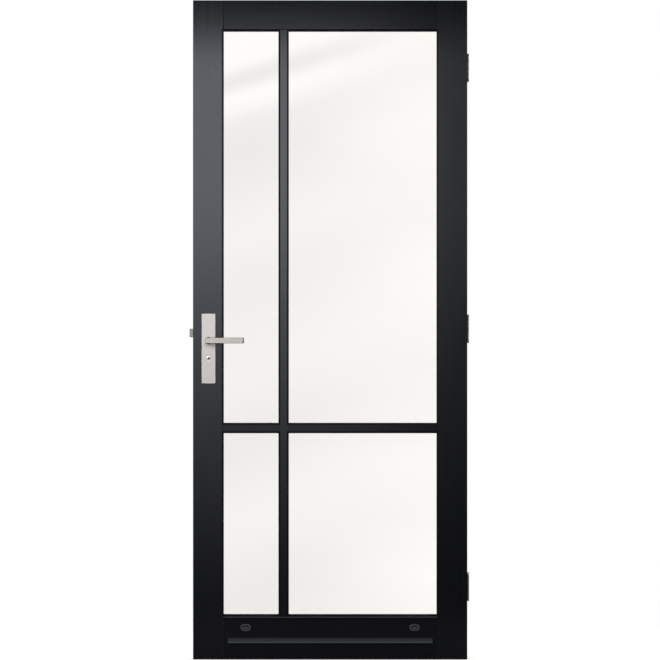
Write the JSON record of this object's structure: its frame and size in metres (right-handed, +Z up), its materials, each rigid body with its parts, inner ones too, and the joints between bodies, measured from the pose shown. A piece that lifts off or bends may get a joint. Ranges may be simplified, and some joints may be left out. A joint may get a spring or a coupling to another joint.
{
  "type": "patio door",
  "caption": "Glazed timber door leaf with a sealed glass unit behind applied bars, a lever handle on a long plate, a mortise lock with latch and deadbolt, and butt hinges.",
  "frame": {"origin": "middle of the leaf's bottom edge, at half its thickness", "axes": "+X to the right seen from outside, towards the hinges; +Y from outside to inside; +Z up"},
  "size_m": [0.8998, 0.172, 2.115],
  "materials": {
    "painted_timber": "near black satin paint on timber",
    "dowel_beech": "plain beech",
    "clear_glass": "clear float glass",
    "warm_edge": "matt black composite",
    "black_seal": "matt black sealant and tape",
    "hard_block": "matt hard plastic",
    "vent_plastic": "matt dark grey plastic",
    "drip_aluminium": "dark grey coated aluminium",
    "satin_steel": "satin brushed stainless steel",
    "zinc_steel": "zinc plated steel",
    "nickel": "satin nickel plating",
    "bush_plastic": "matt black plastic"
  },
  "bodies": {
    "frame_side": {"hinge_frame_leaf_top": "satin_steel", "hinge_frame_leaf_middle": "satin_steel", "hinge_frame_leaf_bottom": "satin_steel", "hinge_pins": "satin_steel", "hinge_bearings": "satin_steel"},
    "handle": {"lever_outer": "satin_steel", "lever_inner": "satin_steel", "spindle": "satin_steel", "follower": "zinc_steel", "grub_screws": "satin_steel"},
    "latch": {"latch_bolt": "nickel"},
    "bolt": {"deadbolt": "nickel"},
    "key_barrel": {"cylinder_plug_outer": "nickel", "cylinder_plug_inner": "nickel", "cylinder_cam": "nickel"},
    "door_leaf": {"lock_stile": "painted_timber", "hinge_stile": "painted_timber", "top_rail": "painted_timber", "bottom_rail": "painted_timber", "bead_bottom": "painted_timber", "bead_hinge_side": "painted_timber", "bead_top": "painted_timber", "bead_lock_side": "painted_timber", "sill_bead": "painted_timber", "bar_upright_outer": "painted_timber", "bar_cross_left_outer": "painted_timber", "bar_cross_right_outer": "painted_timber", "bar_upright_inner": "painted_timber", "bar_cross_left_inner": "painted_timber", "bar_cross_right_inner": "painted_timber", "rail_dowels": "dowel_beech", "pane_outer": "clear_glass", "pane_inner": "clear_glass", "glass_spacer": "warm_edge", "spacer_bars": "warm_edge", "edge_sealant": "black_seal", "glazing_tape_outer": "black_seal", "glazing_tape_inner": "black_seal", "bar_tapes": "black_seal", "setting_blocks": "hard_block", "vent_cap_left": "vent_plastic", "vent_cap_right": "vent_plastic", "drip_bar": "drip_aluminium", "plate_outer": "satin_steel", "plate_inner": "satin_steel", "lock_faceplate": "satin_steel", "plate_screws": "satin_steel", "lock_screws": "satin_steel", "cylinder_screw": "satin_steel", "hinge_door_leaf_top": "satin_steel", "hinge_door_leaf_middle": "satin_steel", "hinge_door_leaf_bottom": "satin_steel", "hinge_screws": "satin_steel", "lock_case": "zinc_steel", "lock_cover": "zinc_steel", "latch_spring": "zinc_steel", "cylinder_body": "nickel", "bush_outer": "bush_plastic", "bush_inner": "bush_plastic"}
  },
  "joints": [
    {"name": "door_swing", "type": "hinge", "parent": "frame_side", "child": "door_leaf", "pos_m": [0.4415, 0.03375, 0], "axis": [0, 0, -1], "range_deg": [0, 170]},
    {"name": "handle_turn", "type": "hinge", "parent": "door_leaf", "child": "handle", "pos_m": [-0.39, 0, 1.0233], "axis": [0, 1, 0], "range_deg": [0, 40], "stiffness_Nm_per_rad": 1, "springref_deg": -40.11},
    {"name": "latch_slide", "type": "slide", "parent": "door_leaf", "child": "latch", "axis": [1, 0, 0], "range_m": [0, 0.012], "stiffness_N_per_m": 150, "springref_m": -0.01, "deforming": ["latch_spring"]},
    {"name": "key_turn", "type": "hinge", "parent": "door_leaf", "child": "key_barrel", "pos_m": [-0.39, 0, 0.9683], "axis": [0, -1, 0], "range_deg": [0, 360]},
    {"name": "deadbolt_slide", "type": "slide", "parent": "door_leaf", "child": "bolt", "axis": [-1, 0, 0], "range_m": [0, 0.02]}
  ],
  "couplings": [
    {"joint": "latch_slide", "follows": "handle_turn", "m_per_rad": 0.01718},
    {"joint": "key_turn", "follows": "deadbolt_slide", "rad_per_m": 314.15}
  ]
}
